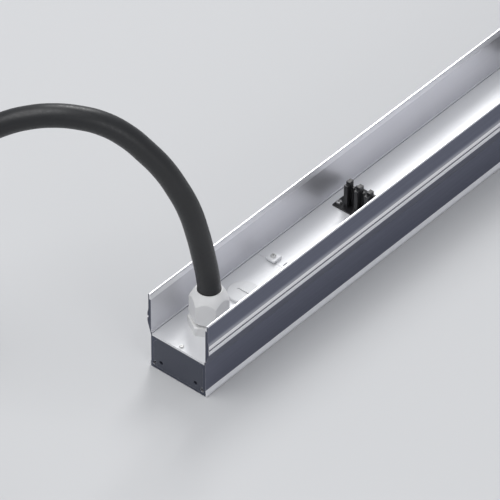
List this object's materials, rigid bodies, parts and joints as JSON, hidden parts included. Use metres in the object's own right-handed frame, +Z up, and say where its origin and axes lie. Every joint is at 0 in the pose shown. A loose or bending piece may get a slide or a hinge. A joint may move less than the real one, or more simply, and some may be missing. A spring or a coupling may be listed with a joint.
{
  "type": "busway section",
  "caption": "Open-topped aluminium busway rail with a cable gland, blanking plug and plug-in connectors on its channel floor, and a supply cord with a plug.",
  "frame": {"origin": "middle of the rail's underside, on the floor", "axes": "+Y along the rail from the infeed end to the far end, +Z up, +X to the right seen from the infeed end"},
  "size_m": [0.2344, 1.6602, 0.2618],
  "materials": {
    "rail": "clear-anodised, fine lengthwise grain",
    "end_block": "matt moulded plastic",
    "floor_plate": "satin sheet",
    "screw": "zinc-plated",
    "tab": "satin",
    "gland": "smooth moulded plastic",
    "blanking": "smooth moulded plastic",
    "carrier": "extruded plastic",
    "busbar": "bare copper",
    "connector": "matt moulded plastic",
    "cable": "smooth sheath with a soft sheen",
    "plug_body": "matt moulded plastic",
    "plug_red": "smooth moulded plastic",
    "pin": "nickel-plated brass"
  },
  "bodies": {
    "root": {"rail_profile": "rail", "front_block": "end_block", "rear_block": "end_block", "infeed_plate": "floor_plate", "deck_plate": "floor_plate", "front_screw": "screw", "rear_screw": "screw", "retaining_tab": "tab", "tab_screw": "screw", "gland_body": "gland", "gland_nut": "gland", "gland_locknut": "gland", "blanking_plug": "blanking", "blanking_locknut": "gland", "busbar_carrier": "carrier", "busbar_1": "busbar", "busbar_2": "busbar", "busbar_3": "busbar", "busbar_4": "busbar", "busbar_5": "busbar", "connector_1": "connector", "connector_2": "connector", "connector_3": "connector", "connector_4": "connector", "connector_screws_1": "screw", "connector_screws_2": "screw", "connector_screws_3": "screw", "connector_screws_4": "screw", "supply_cable": "cable", "supply_coil": "cable", "supply_tail": "cable", "plug_nut": "plug_body", "plug_handle": "plug_body", "plug_shroud": "plug_red", "plug_pins": "pin"}
  },
  "joints": []
}
